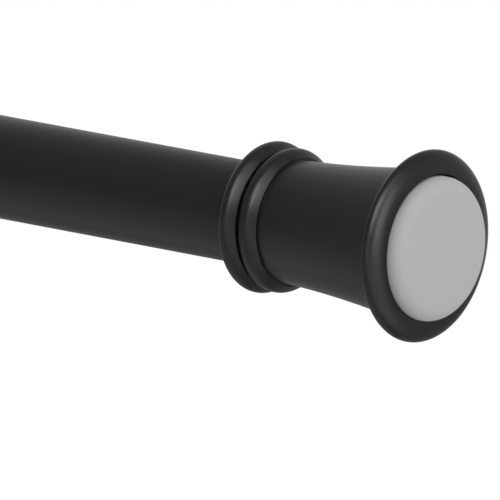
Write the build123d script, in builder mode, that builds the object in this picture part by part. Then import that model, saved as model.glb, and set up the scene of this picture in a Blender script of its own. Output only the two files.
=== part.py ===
from build123d import *
import math
import os

# A telescoping spring tension rod, in millimetres. It lies along X, with Z up. The wall face of
# the outer tube's pad is at X = 0 and the rod runs from there to negative X, so every place
# along it is a distance back from that face.

# Driving dimensions

# The rod as a whole, at its shortest setting with the spring let out
rest_length = 431.8
spring_travel = 25.4

# Tubes
outer_tube_d = 25.4
outer_wall = 0.7
tube_gap = 0.9
inner_wall = 0.7

# Clearances: on the radius of a fit, and along the rod
press_gap = 0.03
running_gap = 0.08
end_play = 0.15
stop_play = 0.3

# End cap: a trumpet between a rolled rim and two beads, each so far over the tube's surface
rim_over = 11.2
rim_centre = 6.44
rim_centre_over = 5.8
rim_front = 2.9
rim_back = 2.45
rim_land = 0.27
flare_over = 6.4
neck_over = 2.65
trumpet_sag = 0.58
small_bead_middle = 49.57
small_bead_over = 5.3
small_bead_round = 2.4
bead_foot = 0.7
bead_groove = 0.3
bead_groove_over = 1.7
bead_pitch = 5.72
large_bead_over = 6.2
large_bead_round = 2.0
cap_mouth_chamfer = 0.5
cap_floor = 12.0
cap_floor_wall = 2.0
core_ledge = 3.6
core_hub_r = 5.0
core_rib = 1.6
core_rib_count = 6

# Pad
pad_edge = 3.3
pad_back = 5.6
pad_recess_gap = 0.3

# Bush in the outer tube's mouth
bush_length = 31.16
bush_lip = 2.0
bush_lip_over = 0.4
bush_lip_round = 0.8

# Lock: screw, nut, cone and collet
screw_r = 4.0
screw_nose = 38.0
screw_nose_out = 1.2
screw_chamfer = 0.8
stop_nut_flats = 13.0
stop_nut_t = 4.0
stop_nut_gap = 0.4
lock_travel = 3.0
cone_length = 16.0
cone_wall = 2.5
cone_seat_gap = 0.12
finger_wall = 1.7
fin_t = 2.0
fin_gap = 0.12
fin_length = 7.0
fin_short = 0.6
finger_count = 4
collet_gap = 0.1
collet_length = 28.0
collet_web = 8.0
drag_ring_d = 2.0
drag_ring_back = 3.6
drag_ring_gap = 0.04
clip_t = 1.0
clip_over = 2.0
clip_depth = 0.5
clip_mouth = 5.0
thrust_washer_gap = 2.5
thrust_washer_t = 1.2
shoulder_over = 4.0
shoulder_t = 3.0

# Hexagonal shank of the plunger and what rides on it
shank_flats = 8.0
shank_tail = 28.0
shank_chamfer = 0.6
collar_length = 6.0
collar_pin_r = 1.25
collar_pin_short = 0.8
spring_washer_t = 1.0
spring_washer_gap = 0.8
spring_washer_bore_gap = 0.3

# Coil spring
spring_length = 80.0
spring_wire = 2.0
spring_gap = 0.5
spring_turns = 10

# Plugs that the inner tube is rolled onto
roll_depth = 0.6
roll_half = 1.6
guide_lip = 1.5
guide_lip_gap = 0.3
guide_length = 13.5
seat_length = 9.0
spigot_length = 8.0
spigot_gap = 0.4
seat_bore_r = 3.0

# Sizes and places that follow from them

outer_r = outer_tube_d / 2
outer_bore_r = outer_r - outer_wall
inner_r = outer_bore_r - tube_gap
inner_bore_r = inner_r - inner_wall

rim_r = outer_r + rim_over
rim_centre_r = outer_r + rim_centre_over
flare_r = outer_r + flare_over
neck_r = outer_r + neck_over
small_bead_r = outer_r + small_bead_over
large_bead_r = outer_r + large_bead_over
bead_groove_r = outer_r + bead_groove_over
recess_r = rim_centre_r - rim_land
core_r = recess_r - core_ledge
pad_r = recess_r - pad_recess_gap

large_bead_middle = small_bead_middle + bead_pitch
cap_length = large_bead_middle + large_bead_round
tube_seat = cap_floor + cap_floor_wall

bush_end = rest_length - cap_length - spring_travel - stop_play
outer_tube_end = bush_end - bush_lip
bush_start = outer_tube_end - bush_length
inner_tube_end = rest_length - tube_seat

stop_nut_start = screw_nose + screw_nose_out
cone_start = stop_nut_start + stop_nut_t + stop_nut_gap
cone_end = cone_start + cone_length
collet_start = cone_end - fin_length
collet_end = collet_start + collet_length
web_start = collet_end - collet_web
collet_r = outer_bore_r - collet_gap
cone_large_r = collet_r - finger_wall
cone_small_r = screw_r + cone_wall
clip_r = screw_r + clip_over
shoulder_r = screw_r + shoulder_over
thrust_washer_r = outer_bore_r - thrust_washer_gap
clip_start = web_start - end_play - clip_t
thrust_washer_start = collet_end + end_play
shoulder_start = thrust_washer_start + thrust_washer_t
shank_start = shoulder_start + shoulder_t

guide_start = shank_start + spring_travel + stop_play
inner_tube_start = guide_start + guide_lip
guide_end = inner_tube_start + guide_length
collar_start = guide_end + end_play
collar_end = collar_start + collar_length
collar_r = inner_bore_r - running_gap
spring_washer_r = inner_bore_r - spring_washer_gap
spring_start = collar_end + spring_washer_t
spring_end = spring_start + spring_length
spring_r = inner_bore_r - spring_gap - spring_wire / 2
seat_end = spring_end + seat_length
shank_end = spring_start + shank_tail
telescope_travel = bush_start - stop_play - inner_tube_start

guide_roll = (inner_tube_start + guide_end) / 2
seat_roll = (spring_end + seat_end) / 2


def station(distance):
    """The plane across the rod at a distance back from the wall face."""
    return Plane.YZ.offset(-distance)


def turn(points, mode=Mode.ADD):
    """Revolve a closed outline of (distance, radius) points about the rod's axis."""
    with BuildSketch(Plane.XY) as outline:
        with BuildLine():
            Polyline(*[(-distance, radius) for distance, radius in points], close=True)
        make_face()
    revolve(outline.sketch, axis=Axis.X, mode=mode)


def rolled_line(start, end, radius, rolls):
    """A line along the rod at a radius, dipped inward where the tube is rolled onto a plug."""
    line = [(start, radius)]
    for roll in rolls:
        line += [
            (roll - roll_half, radius),
            (roll - roll_half / 2, radius - roll_depth),
            (roll + roll_half / 2, radius - roll_depth),
            (roll + roll_half, radius),
        ]
    return line + [(end, radius)]


def hexagon(flats):
    RegularPolygon(flats / 2, side_count=6, major_radius=False)


# Outer body

with BuildPart() as outer_tube:
    with BuildSketch(station(tube_seat)):
        Circle(outer_r)
        Circle(outer_bore_r, mode=Mode.SUBTRACT)
    extrude(amount=tube_seat - outer_tube_end)
outer_tube.part.label = "outer_tube"

# The cap's profile runs from the pad's recess out round the rim, in along the trumpet, over the
# two beads and back up the bore. The rim is two quarter ellipses that meet at its crest. Each
# bead rises towards its crest along a 45 degree flank and drops square behind it, and a slot as
# narrow as a blade parts the two.
with BuildPart() as outer_end_cap:
    with BuildSketch(Plane.XY):
        with BuildLine():
            rim_height = rim_r - rim_centre_r
            rim_middle = (-rim_centre, rim_centre_r)
            back_sweep = math.degrees(math.acos((flare_r - rim_centre_r) / rim_height))
            front = EllipticalCenterArc(rim_middle, rim_front, rim_height, 0, arc_size=90)
            back = EllipticalCenterArc(rim_middle, rim_back, rim_height, 90, arc_size=back_sweep)
            flare = back @ 1
            small_low = small_bead_r - small_bead_round
            large_low = large_bead_r - large_bead_round
            small = CenterArc((-small_bead_middle, small_low), small_bead_round, 45, 135)
            large = CenterArc((-large_bead_middle, large_low), large_bead_round, 45, 135)
            foot_r = neck_r + bead_foot
            foot_x = (small @ 0).X + (small @ 0).Y - foot_r
            trumpet_middle = ((flare.X + foot_x) / 2, (flare.Y + neck_r) / 2 - trumpet_sag)
            ThreePointArc(flare, trumpet_middle, (foot_x, neck_r))
            Polyline((foot_x, neck_r), (foot_x, foot_r), small @ 0)
            groove_x = (small @ 1).X - bead_groove
            Polyline(
                small @ 1,
                ((small @ 1).X, bead_groove_r),
                (groove_x, bead_groove_r),
                (groove_x, (large @ 0).X + (large @ 0).Y - groove_x),
                large @ 0,
            )
            bore_r = outer_r + press_gap
            Polyline(
                large @ 1,
                (-cap_length, bore_r + cap_mouth_chamfer),
                (-cap_length + cap_mouth_chamfer, bore_r),
                (-tube_seat, bore_r),
                (-tube_seat, 0),
                (-pad_back, 0),
                (-pad_back, recess_r),
                (-rim_centre + rim_front, recess_r),
                front @ 0,
            )
        make_face()
    revolve(axis=Axis.X)
    # Cored from the front, under the pad, with ribs from the hub to the wall
    with BuildSketch(station(pad_back)):
        Circle(core_r)
        Circle(core_hub_r, mode=Mode.SUBTRACT)
        with PolarLocations(core_r / 2, core_rib_count):
            Rectangle(core_r, core_rib, mode=Mode.SUBTRACT)
    extrude(amount=pad_back - cap_floor, mode=Mode.SUBTRACT)
outer_end_cap.part.label = "outer_end_cap"

with BuildPart() as outer_pad:
    with BuildSketch(station(pad_back)):
        Circle(pad_r)
    extrude(amount=pad_back)
    fillet(outer_pad.edges().group_by(Axis.X)[-1], pad_edge)
outer_pad.part.label = "outer_pad"

with BuildPart() as mouth_bush:
    with BuildSketch(station(bush_start)):
        Circle(outer_bore_r - press_gap)
    extrude(amount=bush_start - outer_tube_end)
    with BuildSketch(station(outer_tube_end)):
        Circle(outer_r + bush_lip_over)
    extrude(amount=-bush_lip)
    fillet(mouth_bush.edges().group_by(Axis.X)[0], bush_lip_round)
    with BuildSketch(station(bush_start)):
        Circle(inner_r + running_gap)
    extrude(amount=bush_start - bush_end, mode=Mode.SUBTRACT)
mouth_bush.part.label = "mouth_bush"

# Lock body: the collet's fingers are spread by the cone, and its ring drags on the outer tube

cone_slope = (cone_large_r - cone_small_r) / cone_length
locked_cone_start = cone_start + lock_travel
locked_cone_end = cone_end + lock_travel
taper_mouth_r = cone_large_r - cone_slope * (collet_start - locked_cone_start) + cone_seat_gap
taper_end_r = cone_small_r + cone_seat_gap
ring_centre = collet_end - drag_ring_back
ring_centre_r = outer_bore_r - drag_ring_gap - drag_ring_d / 2

with BuildPart() as collet:
    turn(
        [
            (collet_start, taper_mouth_r),
            (collet_start, collet_r),
            (collet_end, collet_r),
            (collet_end, screw_r + running_gap),
            (web_start, screw_r + running_gap),
            (web_start, taper_end_r),
            (locked_cone_end, taper_end_r),
        ]
    )
    with BuildSketch(station(collet_start)):
        with PolarLocations(collet_r, finger_count):
            Rectangle(collet_r, fin_t + 2 * fin_gap)
    extrude(amount=collet_start - web_start, mode=Mode.SUBTRACT)
    ring_groove_half = drag_ring_d / 2 + press_gap
    turn(
        [
            (ring_centre - ring_groove_half, outer_r),
            (ring_centre - ring_groove_half, ring_centre_r - ring_groove_half),
            (ring_centre + ring_groove_half, ring_centre_r - ring_groove_half),
            (ring_centre + ring_groove_half, outer_r),
        ],
        mode=Mode.SUBTRACT,
    )
collet.part.label = "collet"

with BuildPart() as drag_ring:
    with BuildSketch(Plane.XY):
        with Locations((-ring_centre, ring_centre_r)):
            Circle(drag_ring_d / 2)
    revolve(axis=Axis.X)
drag_ring.part.label = "drag_ring"

# Cone body: the cone can't turn, because its fins ride in the slots between the fingers

with BuildPart() as cone_nut:
    turn(
        [
            (cone_start, 0),
            (cone_start, cone_large_r),
            (cone_end, cone_small_r),
            (cone_end, 0),
        ]
    )
    fin_r = collet_r - fin_short
    with BuildSketch(station(collet_start)):
        with PolarLocations(fin_r / 2, finger_count):
            Rectangle(fin_r, fin_t)
    extrude(amount=-fin_length)
    with BuildSketch(station(cone_start)):
        Circle(screw_r + running_gap)
    extrude(amount=-cone_length, mode=Mode.SUBTRACT)
cone_nut.part.label = "cone_nut"

# Plunger body: the screw turns in the collet's web, and its hexagonal shank slides in the guide

with BuildPart() as plunger:
    with BuildSketch(station(screw_nose)):
        Circle(screw_r)
    extrude(amount=screw_nose - shoulder_start)
    chamfer(plunger.edges().group_by(Axis.X)[-1], screw_chamfer)
    with BuildSketch(station(shoulder_start)):
        Circle(shoulder_r)
    extrude(amount=-shoulder_t)
    with BuildSketch(station(shank_start)):
        hexagon(shank_flats)
    extrude(amount=shank_start - shank_end)
    chamfer(plunger.edges().group_by(Axis.X)[0], shank_chamfer)
    with BuildSketch(station(clip_start - press_gap)):
        Circle(shoulder_r)
        Circle(screw_r - clip_depth, mode=Mode.SUBTRACT)
    extrude(amount=-clip_t - 2 * press_gap, mode=Mode.SUBTRACT)
    with BuildSketch(Plane.XY):
        with Locations((-(collar_start + collar_end) / 2, 0)):
            Circle(collar_pin_r)
    extrude(amount=shank_flats, both=True, mode=Mode.SUBTRACT)
plunger.part.label = "plunger"

with BuildPart() as stop_nut:
    with BuildSketch(station(stop_nut_start)):
        hexagon(stop_nut_flats)
        Circle(screw_r + press_gap, mode=Mode.SUBTRACT)
    extrude(amount=-stop_nut_t)
stop_nut.part.label = "stop_nut"

with BuildPart() as collet_clip:
    with BuildSketch(station(clip_start)):
        Circle(clip_r)
        Circle(screw_r - clip_depth + press_gap, mode=Mode.SUBTRACT)
        with Locations((clip_r, 0)):
            Rectangle(2 * clip_r, clip_mouth, mode=Mode.SUBTRACT)
    extrude(amount=-clip_t)
collet_clip.part.label = "collet_clip"

with BuildPart() as thrust_washer:
    with BuildSketch(station(thrust_washer_start)):
        Circle(thrust_washer_r)
        Circle(screw_r + press_gap, mode=Mode.SUBTRACT)
    extrude(amount=-thrust_washer_t)
thrust_washer.part.label = "thrust_washer"

with BuildPart() as thrust_collar:
    with BuildSketch(station(collar_start)):
        Circle(collar_r)
        hexagon_hole = shank_flats + 2 * press_gap
        RegularPolygon(hexagon_hole / 2, 6, major_radius=False, mode=Mode.SUBTRACT)
    extrude(amount=-collar_length)
    with BuildSketch(Plane.XY):
        with Locations((-(collar_start + collar_end) / 2, 0)):
            Circle(collar_pin_r)
    extrude(amount=collar_r, both=True, mode=Mode.SUBTRACT)
thrust_collar.part.label = "thrust_collar"

with BuildPart() as collar_pin:
    with BuildSketch(Plane.XY):
        with Locations((-(collar_start + collar_end) / 2, 0)):
            Circle(collar_pin_r - press_gap)
    extrude(amount=collar_r - collar_pin_short, both=True)
collar_pin.part.label = "collar_pin"

shank_corner_r = shank_flats / math.sqrt(3)

with BuildPart() as spring_washer:
    with BuildSketch(station(collar_end)):
        Circle(spring_washer_r)
        Circle(shank_corner_r + spring_washer_bore_gap, mode=Mode.SUBTRACT)
    extrude(amount=-spring_washer_t)
spring_washer.part.label = "spring_washer"

# The spring's wire is wound past both ends and ground flat there
with BuildPart() as spring:
    with BuildLine():
        coil = Helix(
            pitch=spring_length / spring_turns,
            height=spring_length,
            radius=spring_r,
            center=(-spring_start, 0, 0),
            direction=(-1, 0, 0),
        )
    with BuildSketch(Plane(origin=coil @ 0, z_dir=coil % 0)):
        Circle(spring_wire / 2)
    sweep(is_frenet=True)
    split(bisect_by=station(spring_start), keep=Keep.BOTTOM)
    split(bisect_by=station(spring_end), keep=Keep.TOP)
spring.part.label = "spring"

# Inner body

with BuildPart() as inner_tube:
    rolls = [guide_roll, seat_roll]
    outside = rolled_line(inner_tube_start, inner_tube_end, inner_r, rolls)
    inside = rolled_line(inner_tube_start, inner_tube_end, inner_bore_r, rolls)
    turn(outside + inside[::-1])
inner_tube.part.label = "inner_tube"

plug_r = inner_bore_r - press_gap

with BuildPart() as guide_plug:
    guide_lip_r = outer_bore_r - guide_lip_gap
    turn(
        [(guide_start, 0), (guide_start, guide_lip_r), (inner_tube_start, guide_lip_r)]
        + rolled_line(inner_tube_start, guide_end, plug_r, [guide_roll])
        + [(guide_end, 0)]
    )
    with BuildSketch(station(guide_start)):
        hexagon(shank_flats + 2 * running_gap)
    extrude(amount=guide_start - guide_end, mode=Mode.SUBTRACT)
guide_plug.part.label = "guide_plug"

with BuildPart() as spring_seat:
    spigot_r = spring_r - spring_wire / 2 - spigot_gap
    turn(
        [(spring_end - spigot_length, 0), (spring_end - spigot_length, spigot_r)]
        + [(spring_end, spigot_r)]
        + rolled_line(spring_end, seat_end, plug_r, [seat_roll])
        + [(seat_end, 0)]
    )
    with BuildSketch(station(spring_end - spigot_length)):
        Circle(seat_bore_r)
    extrude(amount=-spigot_length - seat_length, mode=Mode.SUBTRACT)
spring_seat.part.label = "spring_seat"

# The inner tube's cap is the same moulding, so a sleeve fills its bore round the thinner tube
with BuildPart() as reducing_sleeve:
    with BuildSketch(station(rest_length - cap_length)):
        Circle(outer_r)
        Circle(inner_r + press_gap, mode=Mode.SUBTRACT)
    extrude(amount=tube_seat - cap_length)
reducing_sleeve.part.label = "reducing_sleeve"

middle = station(rest_length / 2)

with BuildPart() as inner_end_cap:
    mirror(outer_end_cap.part, about=middle)
inner_end_cap.part.label = "inner_end_cap"

with BuildPart() as inner_pad:
    mirror(outer_pad.part, about=middle)
inner_pad.part.label = "inner_pad"

# Files, one for each piece

os.makedirs("parts", exist_ok=True)
pieces = [
    outer_tube,
    outer_end_cap,
    outer_pad,
    mouth_bush,
    collet,
    drag_ring,
    cone_nut,
    plunger,
    stop_nut,
    collet_clip,
    thrust_washer,
    thrust_collar,
    collar_pin,
    spring_washer,
    spring,
    inner_tube,
    guide_plug,
    spring_seat,
    reducing_sleeve,
    inner_end_cap,
    inner_pad,
]
for piece in pieces:
    export_step(piece.part, f"parts/{piece.part.label}.step")
    print(piece.part.label, round(piece.part.volume, 1), "mm3")
print("telescope travel", round(telescope_travel, 2), "mm")
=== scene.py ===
# %% [markdown]
# # A spring tension rod
# This rod holds a curtain between two walls. A thin tube slides in a thicker one, and each end has
# a trumpet-shaped cap with a soft grey pad. A twist lock and a coil spring are hidden inside.
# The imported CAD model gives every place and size. Here its plain pieces get their finish, and the
# ones that are seen close up are turned again with smoother curves.

# %% Load the frame
import math

import bpy
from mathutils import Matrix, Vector


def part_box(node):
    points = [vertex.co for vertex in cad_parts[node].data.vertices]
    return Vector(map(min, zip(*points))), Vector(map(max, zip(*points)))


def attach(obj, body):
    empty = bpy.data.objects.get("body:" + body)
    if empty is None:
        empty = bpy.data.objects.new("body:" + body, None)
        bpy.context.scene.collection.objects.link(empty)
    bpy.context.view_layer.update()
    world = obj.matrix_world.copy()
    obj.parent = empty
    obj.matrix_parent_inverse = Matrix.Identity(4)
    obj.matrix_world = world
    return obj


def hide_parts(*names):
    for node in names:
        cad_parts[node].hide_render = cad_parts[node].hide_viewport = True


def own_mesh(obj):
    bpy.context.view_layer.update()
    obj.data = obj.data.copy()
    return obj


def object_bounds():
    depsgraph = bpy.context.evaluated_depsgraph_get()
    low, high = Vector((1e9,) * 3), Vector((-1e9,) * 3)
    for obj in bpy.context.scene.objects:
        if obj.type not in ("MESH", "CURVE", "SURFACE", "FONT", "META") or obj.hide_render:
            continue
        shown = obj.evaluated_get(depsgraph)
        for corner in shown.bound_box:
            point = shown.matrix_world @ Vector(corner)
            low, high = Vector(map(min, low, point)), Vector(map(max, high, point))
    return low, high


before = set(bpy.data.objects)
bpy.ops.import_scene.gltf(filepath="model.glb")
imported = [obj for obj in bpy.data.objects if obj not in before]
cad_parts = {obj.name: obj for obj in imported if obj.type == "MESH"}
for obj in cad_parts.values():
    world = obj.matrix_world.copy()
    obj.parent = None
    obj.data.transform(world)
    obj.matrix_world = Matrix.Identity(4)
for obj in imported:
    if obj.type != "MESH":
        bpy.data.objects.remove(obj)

cad_low, cad_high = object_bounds()
print("CAD box", [round(v, 4) for v in cad_low], [round(v, 4) for v in cad_high])

# %% [markdown]
# ## Sizes
# Blender works in metres here, and a rod is drawn in millimetres, so each size below is written
# in millimetres and multiplied by `mm`. The rod lies along X with its wall face at X = 0, and
# runs to negative X. What a CAD node's box can tell is read from it, so nothing is set twice.
# Two gaps come up again and again: one for pieces that are pressed together, which is next to
# nothing, and one for pieces that slide or turn on each other.

# %% Sizes read from the frame
mm = 0.001
press_gap = 0.03 * mm
running_gap = 0.08 * mm


def reach(node):
    """The lowest x, the highest x and the largest radius of a node that is turned about X."""
    low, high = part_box(node)
    return low[0], high[0], (high[1] - low[1]) / 2


tube_left, tube_right, tube_radius = reach("outer_tube")
inner_left, inner_right, inner_radius = reach("inner_tube")
cap_left, _, rim_radius = reach("outer_end_cap")
pad_left, _, pad_radius = reach("outer_pad")
rod_left = cad_low.x
print("outer tube", round(tube_radius * 2 / mm, 2), "mm across")

# %% [markdown]
# ## Turning on a lathe
# Nearly every piece of a rod is round, so one helper turns them all. It works as a hand would: a
# plane is merged into one vertex, the vertex is extruded along half of the section, and that
# line is spun about the rod's axis. A hollow piece's outline comes back to its first point, and a
# solid one's starts and ends on the axis. The doubles where the spin closes are merged before the
# normals are worked out.

# %% The lathe
around = 144


def draw_line(name, outline):
    """Draw a line of (x, radius) points in the XZ plane, as the start of a turned piece."""
    bpy.ops.object.select_all(action="DESELECT")
    first_x, first_radius = outline[0]
    bpy.ops.mesh.primitive_plane_add(size=mm, location=(first_x, 0, first_radius))
    piece = bpy.context.active_object
    piece.name = name
    bpy.ops.object.mode_set(mode="EDIT")
    bpy.ops.mesh.select_all(action="SELECT")
    bpy.ops.mesh.merge(type="CENTER")
    for (x, radius), (next_x, next_radius) in zip(outline, outline[1:]):
        step = {"value": (next_x - x, 0, next_radius - radius)}
        bpy.ops.mesh.extrude_vertices_move(TRANSFORM_OT_translate=step)
    bpy.ops.object.mode_set(mode="OBJECT")
    bpy.ops.object.transform_apply(location=True, rotation=True, scale=True)
    return piece


def lathe(name, outline, steps=around):
    """Turn an outline of (x, radius) points about the rod's axis."""
    piece = draw_line(name, outline)
    bpy.ops.object.mode_set(mode="EDIT")
    bpy.ops.mesh.select_all(action="SELECT")
    bpy.ops.mesh.spin(steps=steps, angle=2 * math.pi, center=(0, 0, 0), axis=(1, 0, 0))
    close_up()
    return piece


def close_up():
    """Merge the doubles of the mesh in edit mode and point its faces outwards."""
    bpy.ops.mesh.select_all(action="SELECT")
    bpy.ops.mesh.remove_doubles(threshold=0.002 * mm)
    bpy.ops.mesh.normals_make_consistent(inside=False)
    bpy.ops.object.mode_set(mode="OBJECT")


def arc(centre, across, high, start, end, count):
    """Points of an ellipse's arc from one angle to another, in degrees."""
    points = []
    for step in range(count + 1):
        angle = math.radians(start + (end - start) * step / count)
        points.append((centre[0] + across * math.cos(angle), centre[1] + high * math.sin(angle)))
    return points


# %% [markdown]
# ## Finishing a shape
# No real corner is sharp, so each finished piece gets a small bevel and is shaded smooth wherever
# its faces meet at less than 40 degrees. Holes and slots are cut with a Boolean modifier, which
# leaves the cut as clean as a milling tool would. The tool is deleted once the cut is applied.

# %% Softening and cutting


def pick(piece):
    """Select one piece alone and make it the active one."""
    bpy.ops.object.select_all(action="DESELECT")
    piece.select_set(True)
    bpy.context.view_layer.objects.active = piece


def soften(piece, width, segments=3, angle=30):
    """Round the corners of a piece with a bevel, then shade it smooth."""
    pick(piece)
    bevel = piece.modifiers.new("Corner rounds", "BEVEL")
    bevel.width = width
    bevel.segments = segments
    bevel.limit_method = "ANGLE"
    bevel.angle_limit = math.radians(angle)
    bpy.ops.object.modifier_apply(modifier=bevel.name)
    bpy.ops.object.shade_smooth_by_angle(angle=math.radians(40))
    print(piece.name, len(piece.data.polygons), "faces")


def machine(piece, tool, operation="DIFFERENCE"):
    """Cut a piece with a tool, or join them, and clear the tool away."""
    pick(piece)
    boolean = piece.modifiers.new("Machining", "BOOLEAN")
    boolean.operation = operation
    boolean.solver = "EXACT"
    boolean.object = tool
    bpy.ops.object.modifier_apply(modifier=boolean.name)
    bpy.data.objects.remove(tool, do_unlink=True)
    return piece


def block(low_x, high_x, deep, high):
    """A block centred on the axis, used as a cutting tool."""
    bpy.ops.object.select_all(action="DESELECT")
    bpy.ops.mesh.primitive_cube_add(size=1, location=((low_x + high_x) / 2, 0, 0))
    tool = bpy.context.active_object
    tool.scale = (high_x - low_x, deep, high)
    bpy.ops.object.transform_apply(location=True, rotation=True, scale=True)
    return tool


def hexagon_bar(low_x, high_x, flats):
    """A six-sided bar along the axis, flat at the top and bottom in the CAD's way."""
    bpy.ops.object.select_all(action="DESELECT")
    bpy.ops.mesh.primitive_cylinder_add(
        vertices=6,
        radius=flats / math.sqrt(3),
        depth=high_x - low_x,
        location=((low_x + high_x) / 2, 0, 0),
        rotation=(0, math.radians(90), 0),
    )
    bar = bpy.context.active_object
    bpy.ops.object.transform_apply(location=True, rotation=True, scale=True)
    return bar


# %% [markdown]
# ## The end cap
# The cap is one black moulding. From the wall inwards it has a rolled rim, a trumpet that narrows
# to a neck, and two beads with a slot between them that is as narrow as a blade. A lathe outline
# gives all of it in one go. The rim is two quarter ellipses, because its back is flatter than its
# front. Each bead climbs to its crest along a 45 degree flank and drops square behind it, so the
# light draws one line on the flank and a second on the crest. The corner where the rim meets the
# trumpet stays sharp, as a mould leaves it.
#
# Under the pad the moulding is hollowed out round a hub, with ribs, so that it cools evenly. Six
# pockets are cut for it. The tool is a turned ring that three bars are taken out of first.

# %% End cap sizes
rim_middle = (-6.44 * mm, 18.5 * mm)
rim_front = 2.9 * mm
rim_back = 2.45 * mm
flare_radius = 19.1 * mm
neck_radius = 15.35 * mm
trumpet_sag = 0.58 * mm
small_bead_x = -49.57 * mm
small_bead_radius = 18 * mm
small_bead_round = 2.4 * mm
large_bead_radius = 18.9 * mm
large_bead_round = 2 * mm
bead_foot = 0.7 * mm
mouth_chamfer = 0.5 * mm
groove_width = 0.5 * mm
groove_radius = 14.4 * mm
recess_radius = pad_radius + 0.3 * mm
bore_radius = tube_radius + press_gap
core_depth = 6.4 * mm
core_radius = recess_radius - 3.6 * mm
core_hub = 5 * mm
core_rib = 1.6 * mm

# %% End cap


def trumpet_curve(start, end, count):
    """The hollow of the trumpet: a straight line that sags by a parabola in the middle."""
    points = []
    for step in range(1, count + 1):
        t = step / count
        sag = 4 * trumpet_sag * t * (1 - t)
        x = start[0] + (end[0] - start[0]) * t
        points.append((x, start[1] + (end[1] - start[1]) * t - sag))
    return points


def flank_foot(middle, bead_round, radius):
    """Where the 45 degree flank of a bead comes down to a radius."""
    reach_out = bead_round * math.sqrt(2)
    return middle[0] + middle[1] + reach_out - radius, radius


def cap_outline():
    """Half of the cap's section, from the pad's recess round the outside and back up the bore."""
    rim_height = rim_radius - rim_middle[1]
    back_sweep = math.degrees(math.acos((flare_radius - rim_middle[1]) / rim_height))
    outline = [(pad_left, 0), (pad_left, recess_radius)]
    outline.append((rim_middle[0] + rim_front, recess_radius))
    outline += arc(rim_middle, rim_front, rim_height, 0, 90, 16)
    outline += arc(rim_middle, rim_back, rim_height, 90, 90 + back_sweep, 16)[1:]
    small_middle = (small_bead_x, small_bead_radius - small_bead_round)
    foot = flank_foot(small_middle, small_bead_round, neck_radius + bead_foot)
    outline += trumpet_curve(outline[-1], (foot[0], neck_radius), 24)
    outline.append(foot)
    outline += arc(small_middle, small_bead_round, small_bead_round, 45, 180, 20)
    groove_x = small_bead_x - small_bead_round
    outline += [(groove_x, groove_radius), (groove_x - groove_width, groove_radius)]
    large_middle = (cap_left + large_bead_round, large_bead_radius - large_bead_round)
    across = flank_foot(large_middle, large_bead_round, 0)[0]
    outline.append((groove_x - groove_width, across - groove_x + groove_width))
    outline += arc(large_middle, large_bead_round, large_bead_round, 45, 180, 20)
    outline += [(cap_left, bore_radius + mouth_chamfer), (cap_left + mouth_chamfer, bore_radius)]
    outline += [(tube_right, bore_radius), (tube_right, 0)]
    return outline


def core_pockets():
    """The tool for the pockets: a ring with a gap for each rib."""
    pocket_left, pocket_right = pad_left - core_depth, pad_left + mm
    ring = [(pocket_left, core_hub), (pocket_left, core_radius), (pocket_right, core_radius)]
    ring += [(pocket_right, core_hub), (pocket_left, core_hub)]
    tool = lathe("core_pockets", ring, steps=72)
    for turned in (0, 60, 120):
        rib = block(pocket_left - mm, pocket_right + mm, 2.2 * core_radius, core_rib)
        rib.rotation_euler.x = math.radians(turned)
        bpy.ops.object.transform_apply(location=True, rotation=True, scale=True)
        tool = machine(tool, rib)
    return tool


outer_cap = lathe("outer_cap_moulding", cap_outline())
outer_cap = machine(outer_cap, core_pockets())
soften(outer_cap, 0.25 * mm)

# %% [markdown]
# ## The pad
# A soft grey disc sits in the cap's recess and stands proud of the rim. Its edge is a large
# quarter round, which catches the light all the way round the flat face. The disc is a little
# smaller than its recess and sits low in it, so a dark crescent shows along its top.

# %% Pad
pad_round = 3.3 * mm
pad_drop = 0.25 * mm
pad_outline = [(pad_left, 0), (pad_left, pad_radius)]
pad_outline += arc((-pad_round, pad_radius - pad_round), pad_round, pad_round, 90, 0, 16)
pad_outline.append((0, 0))
outer_pad = lathe("outer_grip_pad", pad_outline)
soften(outer_pad, 0.2 * mm)
for vertex in outer_pad.data.vertices:
    vertex.co.z -= pad_drop

# %% [markdown]
# ## The far end
# The other end has the same two mouldings, turned to face the other wall. They are copied, each
# with its own mesh, and mirrored about the rod's middle. A mirror turns a mesh inside out, so the
# normals are worked out again.

# %% Far cap and pad


def far_copy(piece, name):
    """Copy a piece to the other end of the rod."""
    copy = piece.copy()
    copy.data = piece.data.copy()
    copy.name = name
    bpy.context.collection.objects.link(copy)
    for vertex in copy.data.vertices:
        vertex.co.x = rod_left - vertex.co.x
    pick(copy)
    bpy.ops.object.mode_set(mode="EDIT")
    bpy.ops.mesh.select_all(action="SELECT")
    bpy.ops.mesh.normals_make_consistent(inside=False)
    bpy.ops.object.mode_set(mode="OBJECT")
    return copy


inner_cap = far_copy(outer_cap, "inner_cap_moulding")
inner_pad = far_copy(outer_pad, "inner_grip_pad")
print("far cap", [round(v, 4) for v in inner_cap.bound_box[0]])

# %% [markdown]
# ## The tubes
# The outer tube is thin painted steel, cut square with its burr taken off. A round bush is pressed
# into its mouth to guide the inner tube. Its lip is fully rounded, so that curtain rings don't
# catch on it.

# %% Outer tube and mouth bush
wall = 0.7 * mm


def pipe(name, left, right, radius, bore):
    """A plain tube or ring."""
    return lathe(name, [(left, bore), (left, radius), (right, radius), (right, bore), (left, bore)])


def solid_rod(name, left, right, radius):
    """A plain solid cylinder, as a blank or as a drill."""
    return lathe(name, [(left, 0), (left, radius), (right, radius), (right, 0)])


outer_tube = pipe("outer_tube_painted", tube_left, tube_right, tube_radius, tube_radius - wall)
soften(outer_tube, 0.15 * mm)

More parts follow.
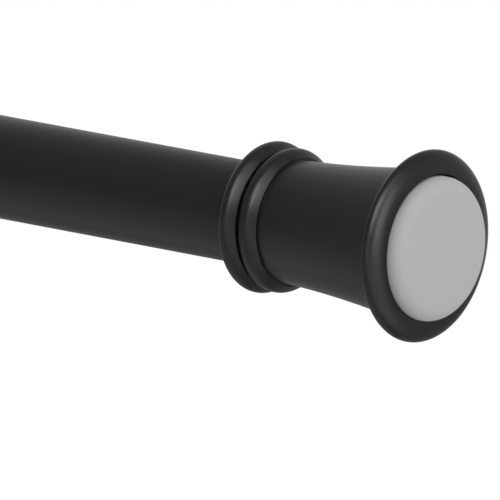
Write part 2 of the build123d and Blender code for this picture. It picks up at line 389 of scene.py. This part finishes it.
bush_left, bush_right, bush_radius = reach("mouth_bush")
bush_bore = inner_radius + running_gap
bush_body = tube_radius - wall - press_gap
lip_round = 0.8 * mm
bush_outline = [(bush_right, bush_bore), (bush_right, bush_body), (tube_left, bush_body)]
bush_outline.append((tube_left, bush_radius))
bush_outline += arc(
    (bush_left + lip_round, bush_radius - lip_round), lip_round, lip_round, 90, 180, 8
)
bush_outline += [(bush_left, bush_bore), (bush_right, bush_bore)]
mouth_bush = lathe("mouth_bush_ring", bush_outline)
soften(mouth_bush, 0.1 * mm)

# %% [markdown]
# The inner tube is rolled inwards in two places, onto the guide plug and the spring seat, and that
# holds them in it without screws. Each roll is a smooth dip, drawn here as one wave of a cosine.
# Both the inside and the outside of the wall follow it.

# %% Inner tube
guide_left, guide_right, guide_lip = reach("guide_plug")
seat_left, seat_right, _ = reach("spring_seat")
spring_left, spring_right, spring_radius = reach("spring")
roll_depth = 0.6 * mm
roll_half = 1.6 * mm
guide_roll = (inner_right + guide_left) / 2
seat_roll = (spring_left + seat_left) / 2


def rolled_line(right, left, radius, rolls):
    """A line along the tube that dips inwards at each roll."""
    line = [(right, radius)]
    for roll in rolls:
        for step in range(13):
            across = 1 - step / 6
            dip = roll_depth * (1 + math.cos(math.pi * across)) / 2
            line.append((roll + roll_half * across, radius - dip))
    return line + [(left, radius)]


outside = rolled_line(inner_right, inner_left, inner_radius, [guide_roll, seat_roll])
inside = rolled_line(inner_right, inner_left, inner_radius - wall, [guide_roll, seat_roll])
inner_tube = lathe("inner_tube_rolled", outside + inside[::-1] + outside[:1])
soften(inner_tube, 0.12 * mm)

sleeve_left, sleeve_right, sleeve_radius = reach("reducing_sleeve")
sleeve_bore = inner_radius + press_gap
reducing_sleeve = pipe(
    "reducing_sleeve_ring", sleeve_left, sleeve_right, sleeve_radius, sleeve_bore
)
soften(reducing_sleeve, 0.2 * mm)

# %% [markdown]
# ## The plugs in the inner tube
# Both plugs are pale nylon, grooved where the tube is rolled onto them. The guide plug has a lip
# that runs in the outer tube and a hexagonal hole that keeps the plunger from turning in it. The
# spring sits over the spigot of the seat.

# %% Guide plug and spring seat
plug_radius = inner_radius - wall - press_gap
guide_outline = [(guide_right, 0), (guide_right, guide_lip), (inner_right, guide_lip)]
guide_outline += rolled_line(inner_right, guide_left, plug_radius, [guide_roll])
guide_outline.append((guide_left, 0))
guide_plug = lathe("guide_plug_moulding", guide_outline, steps=96)
shank_flats = 8 * mm
machine(guide_plug, hexagon_bar(guide_left - mm, guide_right + mm, shank_flats + 2 * running_gap))
soften(guide_plug, 0.15 * mm)

spigot_radius = 7.5 * mm
seat_bore = 3 * mm
seat_outline = [(seat_right, seat_bore), (seat_right, spigot_radius), (spring_left, spigot_radius)]
seat_outline += rolled_line(spring_left, seat_left, plug_radius, [seat_roll])
seat_outline += [(seat_left, seat_bore), (seat_right, seat_bore)]
spring_seat = lathe("spring_seat_moulding", seat_outline, steps=96)
soften(spring_seat, 0.3 * mm)

# %% [markdown]
# ## The plunger's screw
# A screw thread is one tooth's outline carried round the axis and along it at once. The Screw
# modifier does that for as many turns as are wanted. It ends in a ragged step, so the bar is made
# a turn too long at both ends, and bisected square with the cut faces filled in.

# %% Thread
thread_pitch = 2 * mm
thread_depth = 0.45 * mm


def cut_square(left, right):
    """Cut the mesh in edit mode off square at two places on the axis, and close the cuts."""
    for place, side in ((left, "clear_inner"), (right, "clear_outer")):
        bpy.ops.mesh.select_all(action="SELECT")
        bpy.ops.mesh.bisect(
            plane_co=(place, 0, 0),
            plane_no=(1, 0, 0),
            threshold=0.001 * mm,
            use_fill=True,
            **{side: True},
        )


def threaded_bar(name, left, right, radius):
    """A threaded bar from left to right with flat ends."""
    root = radius - thread_depth
    start = left - thread_pitch
    tooth = [(0, root), (0.2, root), (0.45, radius), (0.75, radius), (1, root)]
    bar = draw_line(name, [(start + share * thread_pitch, height) for share, height in tooth])
    screw = bar.modifiers.new("Thread", "SCREW")
    screw.axis = "X"
    screw.screw_offset = thread_pitch
    screw.iterations = math.ceil((right - left) / thread_pitch) + 2
    screw.steps = screw.render_steps = 48
    screw.use_merge_vertices = True
    screw.merge_threshold = 0.01 * mm
    bpy.ops.object.modifier_apply(modifier=screw.name)
    bpy.ops.object.mode_set(mode="EDIT")
    bpy.ops.mesh.select_all(action="SELECT")
    bpy.ops.mesh.remove_doubles(threshold=0.01 * mm)
    cut_square(left, right)
    close_up()
    return bar


plunger_left, plunger_right, plunger_reach = reach("plunger")
clip_left, clip_right, _ = reach("collet_clip")
screw_radius = 4 * mm
plunger = threaded_bar("plunger_screw", clip_right + press_gap, plunger_right, screw_radius)
nose = lathe(
    "nose_blank",
    [
        (plunger_right, 0),
        (plunger_right, screw_radius - 0.8 * mm),
        (plunger_right - 0.9 * mm, screw_radius + 0.1 * mm),
        (clip_right - mm, screw_radius + 0.1 * mm),
        (clip_right - mm, 0),
    ],
    steps=48,
)
machine(plunger, nose, "INTERSECT")
print("screw", len(plunger.data.polygons), "faces")

# %% [markdown]
# Behind the screw, the plunger has a groove for the clip, a plain neck, a shoulder that pushes the
# lock along, and a hexagonal shank. The hexagon's end is chamfered by taking only what it shares
# with a turned blank. The thread goes on last, joined to a stub that reaches inside it.

# %% Plunger shank
shoulder_left, shoulder_right = -84.95 * mm, -81.95 * mm
groove_floor = 3.5 * mm
stub = [
    (clip_right + 2 * mm, 0),
    (clip_right + 2 * mm, 3 * mm),
    (clip_right + press_gap, 3 * mm),
    (clip_right + press_gap, groove_floor),
    (clip_left - press_gap, groove_floor),
    (clip_left - press_gap, screw_radius),
    (shoulder_right, screw_radius),
    (shoulder_right, plunger_reach),
    (shoulder_left, plunger_reach),
    (shoulder_left, 0),
]
neck = lathe("plunger_neck", stub, steps=48)
shank = hexagon_bar(plunger_left, shoulder_left + mm, shank_flats)
end_blank = lathe(
    "end_blank",
    [
        (plunger_left, 0),
        (plunger_left, 4 * mm),
        (plunger_left + 0.8 * mm, 4.8 * mm),
        (shoulder_right, 4.8 * mm),
        (shoulder_right, 0),
    ],
    steps=48,
)
machine(shank, end_blank, "INTERSECT")
machine(neck, shank, "UNION")
machine(plunger, neck, "UNION")
soften(plunger, 0.05 * mm, segments=1, angle=50)

# %% [markdown]
# ## Nut, washers and collar
# The stop nut keeps the cone on the screw. A real nut's corners are cut back by a shallow cone on
# both faces, so the hexagon is trimmed by a turned blank. The collar drives the spring: a pin goes
# through it and the shank.

# %% Nut, washers and collar
nut_left, nut_right, _ = reach("stop_nut")
nut_flats = 13 * mm
nut_corner = nut_flats / math.sqrt(3)
stop_nut = hexagon_bar(nut_left, nut_right, nut_flats)
stop_nut.name = "stop_nut_hexagon"
nut_blank = lathe(
    "nut_blank",
    [
        (nut_left, 0),
        (nut_left, nut_flats / 2 - 0.2 * mm),
        (nut_left + 0.7 * mm, nut_corner + 0.05 * mm),
        (nut_right - 0.7 * mm, nut_corner + 0.05 * mm),
        (nut_right, nut_flats / 2 - 0.2 * mm),
        (nut_right, 0),
    ],
    steps=72,
)
machine(stop_nut, nut_blank, "INTERSECT")
drill = solid_rod("drill", nut_left - mm, nut_right + mm, screw_radius + press_gap)
machine(stop_nut, drill)
soften(stop_nut, 0.08 * mm, segments=2)

washer_left, washer_right, washer_radius = reach("thrust_washer")
thrust_washer = pipe(
    "thrust_washer_disc", washer_left, washer_right, washer_radius, screw_radius + press_gap
)
soften(thrust_washer, 0.15 * mm)

ring_left, ring_right, ring_radius = reach("spring_washer")
ring_bore = shank_flats / math.sqrt(3) + 0.3 * mm
spring_washer = pipe("spring_washer_disc", ring_left, ring_right, ring_radius, ring_bore)
soften(spring_washer, 0.15 * mm)

collar_left, collar_right, collar_radius = reach("thrust_collar")
thrust_collar = solid_rod("thrust_collar_turned", collar_left, collar_right, collar_radius)
hexagon_hole = shank_flats + 2 * press_gap
machine(thrust_collar, hexagon_bar(collar_left - mm, collar_right + mm, hexagon_hole))
bpy.ops.object.select_all(action="DESELECT")
bpy.ops.mesh.primitive_cylinder_add(
    vertices=32, radius=1.25 * mm, depth=30 * mm, location=((collar_left + collar_right) / 2, 0, 0)
)
machine(thrust_collar, bpy.context.active_object)
soften(thrust_collar, 0.12 * mm)

# %% [markdown]
# ## The twist lock
# The collet is a nylon sleeve split into four fingers. Turning the tubes draws the cone into it,
# and the fingers spread against the outer tube. It is turned whole, then two crossed blocks cut the
# four slots. The cone's fins ride in those slots, so the cone can slide but can't turn.

# %% Collet and drag ring
collet_left, collet_right, collet_radius = reach("collet")
cone_left, cone_right, _ = reach("cone_nut")
drag_left, drag_right, drag_radius = reach("drag_ring")
cone_large = collet_radius - 1.7 * mm
cone_small = screw_radius + 2.5 * mm
cone_slope = (cone_large - cone_small) / (cone_right - cone_left)
seat_gap = 0.12 * mm
lock_travel = 3 * mm
web_right = collet_left + 8 * mm
taper_mouth = cone_large - cone_slope * (cone_right - lock_travel - collet_right) + seat_gap
ring_middle = (drag_left + drag_right) / 2
ring_half = mm + press_gap
ring_floor = drag_radius - 2 * mm - press_gap
screw_hole = screw_radius + running_gap
collet_outline = [
    (collet_right, taper_mouth),
    (collet_right, collet_radius),
    (ring_middle + ring_half, collet_radius),
    (ring_middle + ring_half, ring_floor),
    (ring_middle - ring_half, ring_floor),
    (ring_middle - ring_half, collet_radius),
    (collet_left, collet_radius),
    (collet_left, screw_hole),
    (web_right, screw_hole),
    (web_right, cone_small + seat_gap),
    (cone_left - lock_travel, cone_small + seat_gap),
    (collet_right, taper_mouth),
]
collet = lathe("collet_fingers", collet_outline)
slot_width = 2.24 * mm
machine(collet, block(web_right, collet_right + mm, slot_width, 30 * mm))
machine(collet, block(web_right, collet_right + mm, 30 * mm, slot_width))
soften(collet, 0.12 * mm, segments=2)

cord_middle = (ring_middle, drag_radius - mm)
drag_ring = lathe("drag_ring_rubber", arc(cord_middle, mm, mm, 0, 360, 28))
soften(drag_ring, 0.05 * mm, segments=1, angle=80)

# %% [markdown]
# The cone nut starts as a turned cone. Two crossed blocks add its four fins, and the hole for the
# screw is drilled last, so that it goes through the fins too.

# %% Cone nut
cone_outline = [(cone_right, 0), (cone_right, cone_large), (cone_left, cone_small), (cone_left, 0)]
cone_nut = lathe("cone_nut_finned", cone_outline, steps=96)
fin_reach = collet_radius - 0.6 * mm
machine(cone_nut, block(cone_left, collet_right, 2 * mm, 2 * fin_reach), "UNION")
machine(cone_nut, block(cone_left, collet_right, 2 * fin_reach, 2 * mm), "UNION")
drill = solid_rod("drill", cone_left - mm, cone_right + mm, screw_hole)
machine(cone_nut, drill)
soften(cone_nut, 0.12 * mm, segments=2)

# %% [markdown]
# ## The coil spring
# The wire's round section is carried along a helix by the Screw modifier, as the thread was. A real
# compression spring's end turns are closed, so that they touch, and its ends are ground flat. The
# mesh's rings come in order along the wire, so each ring is slid along the axis to the place that
# a slow start and a slow end give it. The wire's open ends are filled, and bisecting then grinds
# both ends flat.

# %% Spring
turns = 12
ring_points = 20
ring_steps = 48
wire_radius = mm
spring_mean = spring_radius - wire_radius
closed_pitch = 2.04 * mm
closed_turns = 0.8
opening_turns = 0.6


def wire_places():
    """How far along the axis each ring of the wire lies, closed at the ends and open between."""
    openness = []
    for step in range(turns * ring_steps):
        turn = (step + 0.5) / ring_steps
        near_end = min(turn, turns - turn)
        blend = min(max((near_end - closed_turns) / opening_turns, 0), 1)
        openness.append(blend * blend * (3 - 2 * blend))
    closed_share = closed_pitch / ring_steps
    spare = spring_right - spring_left - closed_share * len(openness)
    places = [0]
    for share in openness:
        places.append(places[-1] + closed_share + spare * share / sum(openness))
    return places


bpy.ops.object.select_all(action="DESELECT")
bpy.ops.mesh.primitive_circle_add(
    vertices=ring_points,
    radius=wire_radius,
    location=(spring_left, 0, spring_mean),
    rotation=(math.radians(90), 0, 0),
)
spring = bpy.context.active_object
spring.name = "compression_spring"
bpy.ops.object.transform_apply(location=True, rotation=True, scale=True)
winding = spring.modifiers.new("Winding", "SCREW")
winding.axis = "X"
winding.screw_offset = thread_pitch
winding.iterations = turns
winding.steps = winding.render_steps = ring_steps
bpy.ops.object.modifier_apply(modifier=winding.name)
print("rings along the wire", len(spring.data.vertices) / ring_points)

# %% Spring's closed and ground ends
places = wire_places()
for index, vertex in enumerate(spring.data.vertices):
    ring = index // ring_points
    vertex.co.x += places[ring] - thread_pitch * ring / ring_steps
pick(spring)
bpy.ops.object.mode_set(mode="EDIT")
bpy.ops.mesh.select_all(action="SELECT")
bpy.ops.mesh.fill_holes(sides=0)
cut_square(spring_left, spring_right)
close_up()
bpy.ops.object.shade_smooth_by_angle(angle=math.radians(40))
print("spring", len(spring.data.polygons), "faces")

# %% [markdown]
# ## Satin black
# The tube is painted and the cap is moulded, and both are satin black. A slow noise varies the
# gloss and the colour a little, and a very fine one gives the skin that paint and moulded plastic
# have. Both could be drawn as textures, but noise on Object coordinates needs no unwrapping and
# has no seams.

# %% Material helpers


def new_material(name):
    """A material with its nodes, its links and its shader at hand."""
    material = bpy.data.materials.new(name)
    material.use_nodes = True
    nodes = material.node_tree.nodes
    return material, nodes, material.node_tree.links, nodes["Principled BSDF"]


def noise(nodes, links, scale, detail=2, stretch=(1, 1, 1)):
    """A noise on Object coordinates, stretched along an axis where its number is below one."""
    place = nodes.new("ShaderNodeTexCoord")
    mapping = nodes.new("ShaderNodeMapping")
    mapping.inputs["Scale"].default_value = stretch
    texture = nodes.new("ShaderNodeTexNoise")
    texture.inputs["Scale"].default_value = scale
    texture.inputs["Detail"].default_value = detail
    links.new(place.outputs["Object"], mapping.inputs["Vector"])
    links.new(mapping.outputs["Vector"], texture.inputs["Vector"])
    return texture.outputs["Fac"]


def spread(nodes, links, source, low, high):
    """Map a noise's usual range onto low to high."""
    mapped = nodes.new("ShaderNodeMapRange")
    mapped.inputs["From Min"].default_value = 0.3
    mapped.inputs["From Max"].default_value = 0.7
    mapped.inputs["To Min"].default_value = low
    mapped.inputs["To Max"].default_value = high
    links.new(source, mapped.inputs["Value"])
    return mapped.outputs["Result"]


def mix_colour(nodes, links, source, first, second):
    """A colour between two others. The first may be a colour or the outcome of another mix."""
    mixed = nodes.new("ShaderNodeMix")
    mixed.data_type = "RGBA"
    if isinstance(first, tuple):
        mixed.inputs["A"].default_value = (*first, 1)
    else:
        links.new(first, mixed.inputs["A"])
    mixed.inputs["B"].default_value = (*second, 1)
    links.new(source, mixed.inputs["Factor"])
    return mixed.outputs["Result"]


def painted_edge_highlight(nodes, links):
    """High on the corners of a piece, where a painted highlight lightens the edges, broken up by a
    noise.
    """
    shape = nodes.new("ShaderNodeNewGeometry")
    corner = nodes.new("ShaderNodeMapRange")
    corner.inputs["From Min"].default_value = 0.52
    corner.inputs["From Max"].default_value = 0.62
    links.new(shape.outputs["Pointiness"], corner.inputs["Value"])
    broken = nodes.new("ShaderNodeMath")
    broken.operation = "MULTIPLY"
    links.new(corner.outputs["Result"], broken.inputs[0])
    links.new(spread(nodes, links, noise(nodes, links, 400, detail=4), 0.2, 1), broken.inputs[1])
    return broken.outputs[0]


def tint(nodes, links, shader, source, dark, light, highlight_colour):
    """Vary the base colour between two colours, and paint a third on the corners as a painted edge
    highlight.
    """
    body = mix_colour(nodes, links, source, dark, light)
    # The corners take the third colour, a painted highlight along the edges.
    colour = mix_colour(nodes, links, painted_edge_highlight(nodes, links), body, highlight_colour)
    links.new(colour, shader.inputs["Base Color"])


def raise_skin(nodes, links, shader, source, height, strength=0.3):
    """Turn a noise into a fine relief."""
    bump = nodes.new("ShaderNodeBump")
    bump.inputs["Strength"].default_value = strength
    bump.inputs["Distance"].default_value = height
    links.new(source, bump.inputs["Height"])
    links.new(bump.outputs["Normal"], shader.inputs["Normal"])


# %% Black finishes


def satin_black(name, shade, roughness, specular, grain_scale, grain_height):
    """A dark finish with a slow change of gloss and a fine skin."""
    material, nodes, links, shader = new_material(name)
    slow = noise(nodes, links, 60, detail=3)
    gloss = spread(nodes, links, slow, roughness - 0.02, roughness + 0.02)
    links.new(gloss, shader.inputs["Roughness"])
    # The corners are painted lighter, a painted highlight along the edges.
    tint(nodes, links, shader, slow, (shade,) * 3, (shade * 1.3,) * 3, (shade * 2.5,) * 3)
    raise_skin(nodes, links, shader, noise(nodes, links, grain_scale), grain_height)
    shader.inputs["Specular IOR Level"].default_value = specular
    return material


tube_paint = satin_black("satin_black_paint", 0.005, 0.38, 0.13, 3000, 0.004 * mm)
cap_plastic = satin_black("satin_black_moulding", 0.005, 0.36, 0.13, 3500, 0.004 * mm)

# %% [markdown]
# ## Soft grey
# The pads are a soft, slightly dusty grey with no shine. Fine speckle varies the colour a little,
# and a shallow bump breaks up what light it reflects.

# %% Pad finish


def soft_matt(name, dark, light, roughness, grain_scale):
    """A rubber with a dusty speckle and next to no shine."""
    material, nodes, links, shader = new_material(name)
    dust = noise(nodes, links, grain_scale / 20, detail=4)
    # The pad's corners are painted in the light grey, a painted highlight along the edges.
    tint(nodes, links, shader, dust, dark, light, light)
    grain = noise(nodes, links, grain_scale)
    gloss = spread(nodes, links, grain, roughness - 0.05, roughness + 0.05)
    links.new(gloss, shader.inputs["Roughness"])
    raise_skin(nodes, links, shader, grain, 0.004 * mm, strength=0.2)
    shader.inputs["Specular IOR Level"].default_value = 0.12
    return material


pad_rubber = soft_matt("soft_grey_rubber", (0.45, 0.45, 0.45), (0.47, 0.47, 0.47), 0.75, 2500)
ring_rubber = soft_matt("black_ring_rubber", (0.022, 0.022, 0.022), (0.03, 0.03, 0.03), 0.7, 3000)

# %% [markdown]
# ## Nylon and zinc
# The hidden mouldings are natural nylon: off-white, waxy and a little uneven. The metal pieces are
# zinc plated. Plating is bright but mottled, and the fine lines that a lathe left under it still
# show, so a noise squeezed along X gives lines that run round the axis.

# %% Hidden finishes


def natural_nylon(name):
    """A waxy off-white plastic that lets a little light in."""
    material, nodes, links, shader = new_material(name)
    slow = noise(nodes, links, 140, detail=4)
    # The corners are painted paler, a painted highlight along the edges.
    tint(nodes, links, shader, slow, (0.62, 0.60, 0.53), (0.72, 0.71, 0.66), (0.78, 0.77, 0.74))
    gloss = spread(nodes, links, slow, 0.38, 0.5)
    links.new(gloss, shader.inputs["Roughness"])
    raise_skin(nodes, links, shader, noise(nodes, links, 3000), 0.01 * mm)
    shader.inputs["Subsurface Weight"].default_value = 0.1
    shader.inputs["Subsurface Scale"].default_value = mm
    return material


def zinc_plate(name, dark, light, roughness, line_stretch):
    """A mottled metal with the fine lines of the tool that made it."""
    material, nodes, links, shader = new_material(name)
    mottle = noise(nodes, links, 500, detail=4)
    # The corners are painted paler, a painted highlight along the edges.
    tint(nodes, links, shader, mottle, dark, light, (0.8, 0.8, 0.78))
    lines = noise(nodes, links, 600, stretch=line_stretch)
    gloss = spread(nodes, links, lines, roughness - 0.08, roughness + 0.08)
    links.new(gloss, shader.inputs["Roughness"])
    raise_skin(nodes, links, shader, lines, 0.01 * mm, strength=0.25)
    shader.inputs["Metallic"].default_value = 1
    return material


lock_plastic = natural_nylon("natural_nylon")
turned_steel = zinc_plate(
    "zinc_plated_steel", (0.50, 0.50, 0.49), (0.64, 0.64, 0.62), 0.34, line_stretch=(8, 1, 1)
)
spring_wire = zinc_plate(
    "drawn_spring_wire", (0.33, 0.33, 0.33), (0.46, 0.46, 0.45), 0.3, line_stretch=(1, 1, 1)
)

# %% [markdown]
# ## Putting it on the frame
# Each piece is tied to the body that carries it, stands in for its CAD node, and gets its finish.
# The small clip and the pin keep their CAD shapes and only get a finish.

# %% Dress and ride


def seat(piece, body, node, finish):
    """Finish a piece, tie it to its body and let it stand for its CAD node."""
    piece.data.materials.clear()
    piece.data.materials.append(finish)
    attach(piece, body)
    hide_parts(node)


seat(outer_tube, "outer", "outer_tube", tube_paint)
seat(outer_cap, "outer", "outer_end_cap", cap_plastic)
seat(outer_pad, "outer", "outer_pad", pad_rubber)
seat(mouth_bush, "outer", "mouth_bush", cap_plastic)
seat(collet, "lock", "collet", lock_plastic)
seat(drag_ring, "lock", "drag_ring", ring_rubber)
seat(cone_nut, "cone", "cone_nut", lock_plastic)
seat(plunger, "plunger", "plunger", turned_steel)
seat(stop_nut, "plunger", "stop_nut", turned_steel)
seat(thrust_washer, "plunger", "thrust_washer", turned_steel)
seat(thrust_collar, "plunger", "thrust_collar", turned_steel)
seat(spring_washer, "plunger", "spring_washer", turned_steel)
seat(spring, "plunger", "spring", spring_wire)
seat(inner_tube, "inner", "inner_tube", tube_paint)
seat(guide_plug, "inner", "guide_plug", lock_plastic)
seat(spring_seat, "inner", "spring_seat", lock_plastic)
seat(reducing_sleeve, "inner", "reducing_sleeve", cap_plastic)
seat(inner_cap, "inner", "inner_end_cap", cap_plastic)
seat(inner_pad, "inner", "inner_pad", pad_rubber)

for node in ("collet_clip", "collar_pin"):
    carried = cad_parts[node]
    carried.data.materials.clear()
    carried.data.materials.append(turned_steel)
    print("carried over", node)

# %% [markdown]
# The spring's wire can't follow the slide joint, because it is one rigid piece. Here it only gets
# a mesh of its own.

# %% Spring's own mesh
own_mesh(spring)

# %% [markdown]
# ## Floor
# The rod hangs between walls, so nothing touches the floor. A pale disc lies well below it, out of
# the main camera's view, and gives back some light from underneath. From higher up it's seen, so
# for camera rays it fades into plain white towards its edge and has no horizon.

# %% Floor
bpy.ops.object.select_all(action="DESELECT")
floor_radius = 3
bpy.ops.mesh.primitive_circle_add(
    vertices=96, radius=floor_radius, fill_type="NGON", location=(0, 0, -0.9)
)
floor = bpy.context.active_object
floor.name = "floor"
floor_paint, nodes, links, shader = new_material("pale_floor")
slow = noise(nodes, links, 3)
links.new(mix_colour(nodes, links, slow, (0.84,) * 3, (0.86,) * 3), shader.inputs["Base Color"])
shader.inputs["Roughness"].default_value = 0.9
floor.data.materials.append(floor_paint)

# %% Floor fades into the background
place = nodes.new("ShaderNodeTexCoord")
shrink = nodes.new("ShaderNodeMapping")
shrink.inputs["Scale"].default_value = (1 / floor_radius,) * 3
fall = nodes.new("ShaderNodeTexGradient")
fall.gradient_type = "SPHERICAL"
whiter = nodes.new("ShaderNodeMapRange")
whiter.inputs["To Min"].default_value = 1.0
whiter.inputs["To Max"].default_value = 0.6
path = nodes.new("ShaderNodeLightPath")
share = nodes.new("ShaderNodeMath")
share.operation = "MULTIPLY"
paper = nodes.new("ShaderNodeEmission")
blend = nodes.new("ShaderNodeMixShader")
links.new(place.outputs["Object"], shrink.inputs["Vector"])
links.new(shrink.outputs["Vector"], fall.inputs["Vector"])
links.new(fall.outputs["Fac"], whiter.inputs["Value"])
links.new(whiter.outputs["Result"], share.inputs[0])
links.new(path.outputs["Is Camera Ray"], share.inputs[1])
links.new(share.outputs[0], blend.inputs["Fac"])
links.new(shader.outputs["BSDF"], blend.inputs[1])
links.new(paper.outputs["Emission"], blend.inputs[2])
links.new(blend.outputs["Shader"], nodes["Material Output"].inputs["Surface"])
print("floor at", floor.location.z)

# %% [markdown]
# ## White background
# The backdrop is the world itself. It lights the rod softly, and rays from the camera, from gloss
# and from glass see it at a strength of 1, which is plain white. So the page stays white however
# dim the soft light is.

# %% World
world = bpy.data.worlds.new("studio")
bpy.context.scene.world = world
world.use_nodes = True
nodes = world.node_tree.nodes
links = world.node_tree.links
background = nodes["Background"]
background.inputs["Color"].default_value = (1, 1, 1, 1)
path = nodes.new("ShaderNodeLightPath")
seen = nodes.new("ShaderNodeMath")
seen.operation = "MAXIMUM"
links.new(path.outputs["Is Camera Ray"], seen.inputs[0])
links.new(path.outputs["Is Glossy Ray"], seen.inputs[1])
through = nodes.new("ShaderNodeMath")
through.operation = "MAXIMUM"
links.new(seen.outputs[0], through.inputs[0])
links.new(path.outputs["Is Transmission Ray"], through.inputs[1])
level = nodes.new("ShaderNodeMapRange")
soft_light = 0.5
level.inputs["To Min"].default_value = soft_light
level.inputs["To Max"].default_value = 1.0
links.new(through.outputs[0], level.inputs["Value"])
links.new(level.outputs["Result"], background.inputs["Strength"])
print("world lights the rod at", soft_light, "and is seen at 1")

# %% [markdown]
# ## Lamps
# A round black rod is drawn by what it mirrors. The tube and the trumpet only mirror what lies to
# the left, so they stay dark there, and the beads and the rim mirror two softboxes near the
# camera's right. Each softbox is given by where it stands round the rod, how wide it looks from
# there and how bright its face is. Its power is worked out from those.

# %% Softboxes


def stand(azimuth, elevation, distance):
    """A place in a direction from the cap, in degrees from +X, and the turn that faces it."""
    round_angle = math.radians(azimuth)
    up_angle = math.radians(elevation)
    flat = math.cos(up_angle)
    direction = Vector(
        (flat * math.cos(round_angle), flat * math.sin(round_angle), math.sin(up_angle))
    )
    place = Vector((-0.03, 0, 0)) + direction * distance
    return place, direction.to_track_quat("Z", "Y").to_euler()


def softbox(name, azimuth, elevation, distance, spread_angle, radiance):
    """A round area lamp that lights the rod from a direction."""
    data = bpy.data.lights.new(name, "AREA")
    data.shape = "DISK"
    data.size = 2 * distance * math.tan(math.radians(spread_angle / 2))
    data.energy = 4 * radiance * math.pi * (data.size / 2) ** 2
    lamp = bpy.data.objects.new(name, data)
    bpy.context.scene.collection.objects.link(lamp)
    lamp.location, lamp.rotation_euler = stand(azimuth, elevation, distance)
    lamp.visible_camera = False
    print(name, round(data.energy, 2), "W")


softbox("key", -49, 41, 1.2, 30, 2.4)
softbox("side", 2, 12, 1.2, 36, 2.4)

# %% [markdown]
# A black surface needs a brighter mirror image than the grey pad could bear as light. So bright
# discs stand in front of the softboxes, and a third one draws the line on the flank of each bead.
# Three broad dim ones fill the rod's underside. Only glossy rays see them. They light nothing and
# cast no shadow.

# %% Reflector discs


def reflector(name, azimuth, elevation, distance, spread_angle, radiance):
    """A glowing disc that only shows in reflections."""
    bpy.ops.object.select_all(action="DESELECT")
    place, turned = stand(azimuth, elevation, distance)
    radius = distance * math.tan(math.radians(spread_angle / 2))
    bpy.ops.mesh.primitive_circle_add(
        vertices=64, radius=radius, fill_type="NGON", location=place, rotation=turned
    )
    disc = bpy.context.active_object
    disc.name = name
    glow = bpy.data.materials.new(name)
    glow.use_nodes = True
    glow.node_tree.nodes.clear()
    emission = glow.node_tree.nodes.new("ShaderNodeEmission")
    emission.inputs["Strength"].default_value = radiance
    output = glow.node_tree.nodes.new("ShaderNodeOutputMaterial")
    glow.node_tree.links.new(emission.outputs["Emission"], output.inputs["Surface"])
    glow.cycles.emission_sampling = "NONE"
    disc.data.materials.append(glow)
    disc.visible_camera = False
    disc.visible_diffuse = False
    disc.visible_transmission = False
    disc.visible_shadow = False
    print(name, round(radius, 3), "m in radius")


reflector("key_disc", -48, 40, 1.1, 38, 20)
reflector("side_disc", 2, 10, 1.1, 34, 13.5)
reflector("side_fill_disc", -5, -30, 1.0, 70, 3.3)
reflector("flank_disc", -7, 46, 1.1, 30, 7)
reflector("under_camera_disc", -68, -16, 1.0, 54, 4.5)
reflector("bounce_disc", -99, -47, 0.6, 94, 1.7)

# %% [markdown]
# ## Camera
# The photograph was taken from far away, so the lens is very long. The camera looks along the
# direction below, and is slid sideways until the pad's centre falls on its pixel.

# %% Camera
azimuth = math.radians(39.42)
elevation = math.radians(13.23)
level_part = math.cos(elevation)
towards = Vector(
    (math.sin(azimuth) * level_part, -math.cos(azimuth) * level_part, math.sin(elevation))
)
right = Vector((math.cos(azimuth), math.sin(azimuth), 0))
up = towards.cross(right)
pad_pixel = (444.85, 249.74)
frame_pixels = 500
pixels_per_mm = 4.09
lens = 1500
sensor = 36
camera_data = bpy.data.cameras.new("camera")
camera_data.lens = lens
camera_data.sensor_width = sensor
pixel = mm / pixels_per_mm
distance = frame_pixels * pixel * lens / sensor
from_right = pad_pixel[0] - frame_pixels / 2
from_top = pad_pixel[1] - frame_pixels / 2
aim = -right * from_right * pixel + up * from_top * pixel
camera = bpy.data.objects.new("camera", camera_data)
bpy.context.scene.collection.objects.link(camera)
camera.location = aim + towards * distance
camera.rotation_euler = towards.to_track_quat("Z", "Y").to_euler()
bpy.context.scene.camera = camera
bpy.context.scene.view_settings.view_transform = "Standard"
print("camera at", [round(v, 3) for v in camera.location])
